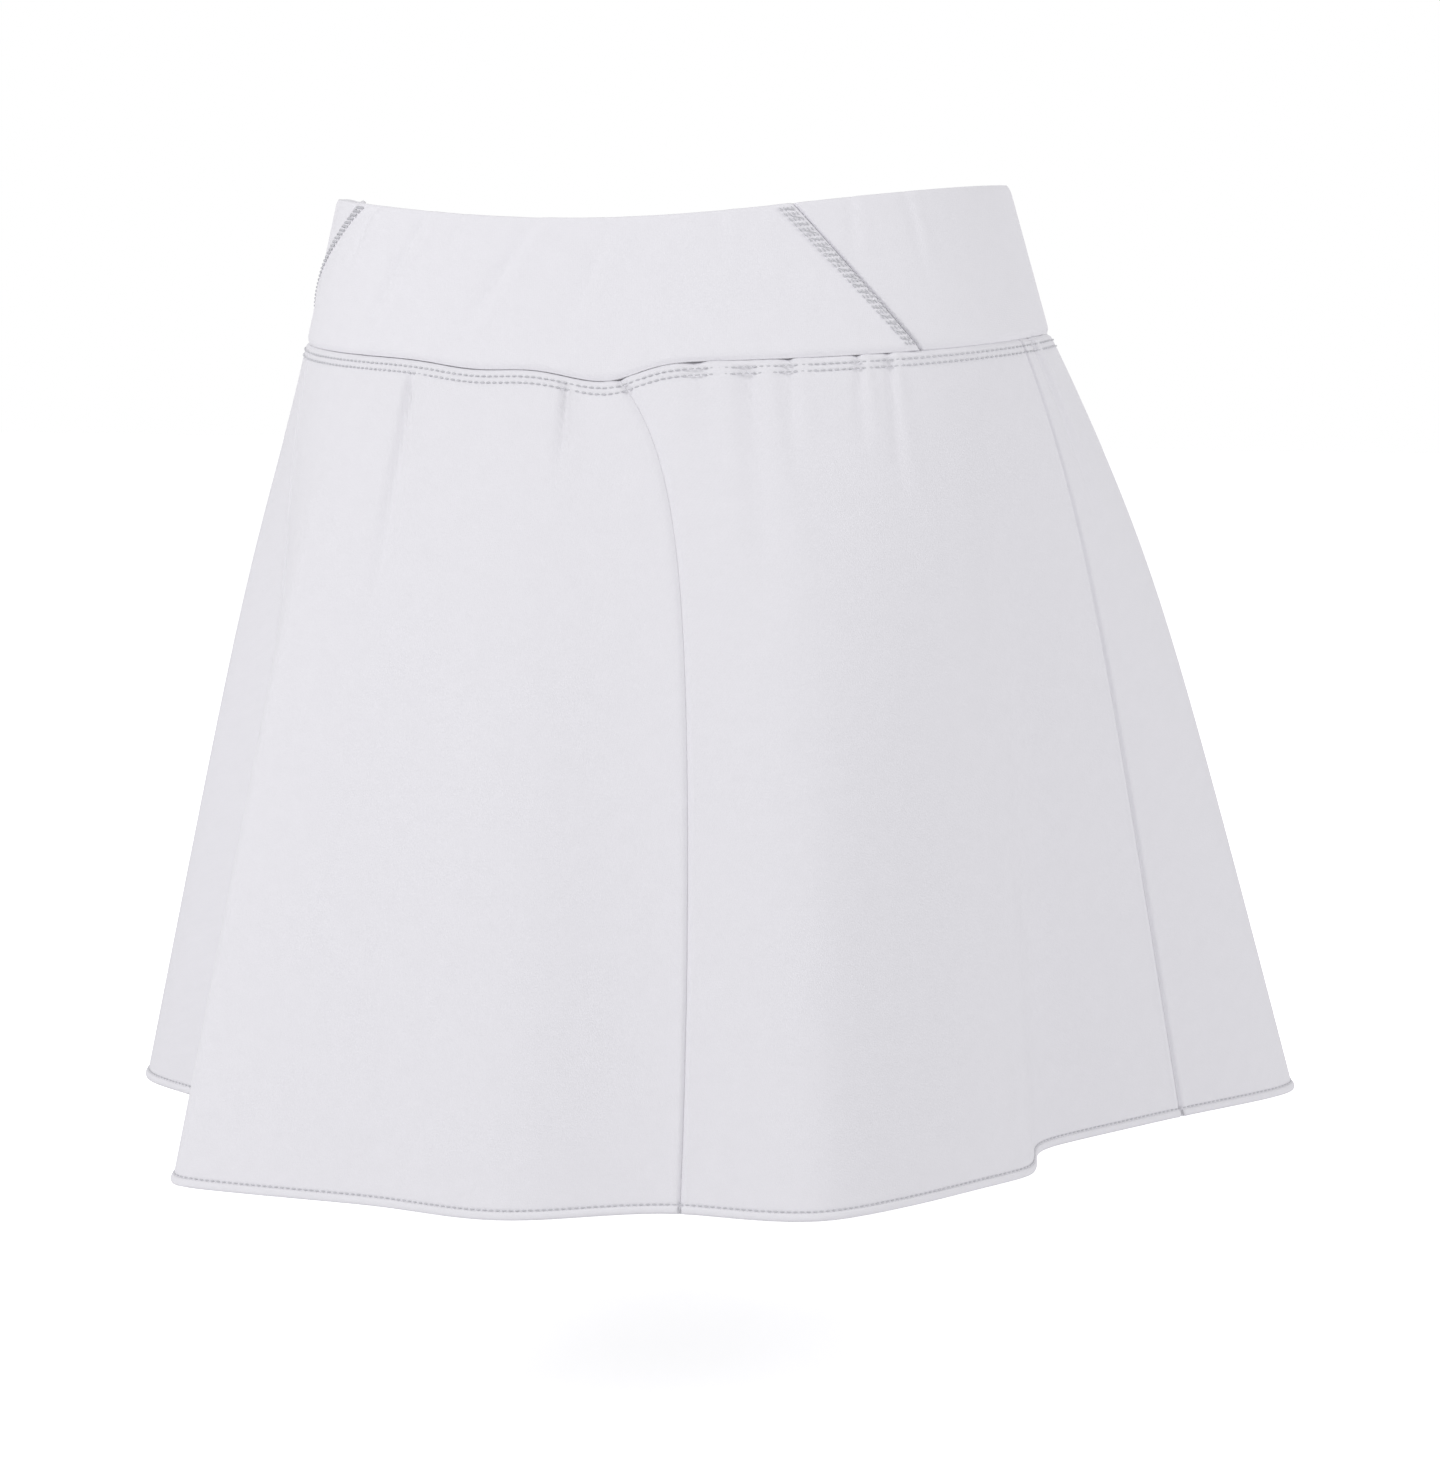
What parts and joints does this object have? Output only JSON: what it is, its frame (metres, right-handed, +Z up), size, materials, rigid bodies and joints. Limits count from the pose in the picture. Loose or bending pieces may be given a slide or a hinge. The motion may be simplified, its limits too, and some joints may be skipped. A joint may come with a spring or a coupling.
{
  "type": "tennis skort",
  "caption": "Tennis skort with a deep shaped waistband, a flared skirt that falls in soft flutes to a rolled hem, and inner shorts under it.",
  "frame": {"origin": "middle of the waist opening, where the wearer's waist carries the skort", "axes": "+Z up out of the waist opening, the back of the garment faces -Y, +X to the right seen from behind"},
  "size_m": [0.4747, 0.3853, 0.3722],
  "materials": {
    "band_knit": "matte knit",
    "skirt_knit": "matte knit",
    "shorts_knit": "matte knit"
  },
  "bodies": {
    "root": {"waistband_back": "band_knit", "waistband_front": "band_knit", "skirt_back_left": "skirt_knit", "skirt_back_right": "skirt_knit", "skirt_front": "skirt_knit", "shorts_left": "shorts_knit", "shorts_right": "shorts_knit"}
  },
  "joints": []
}
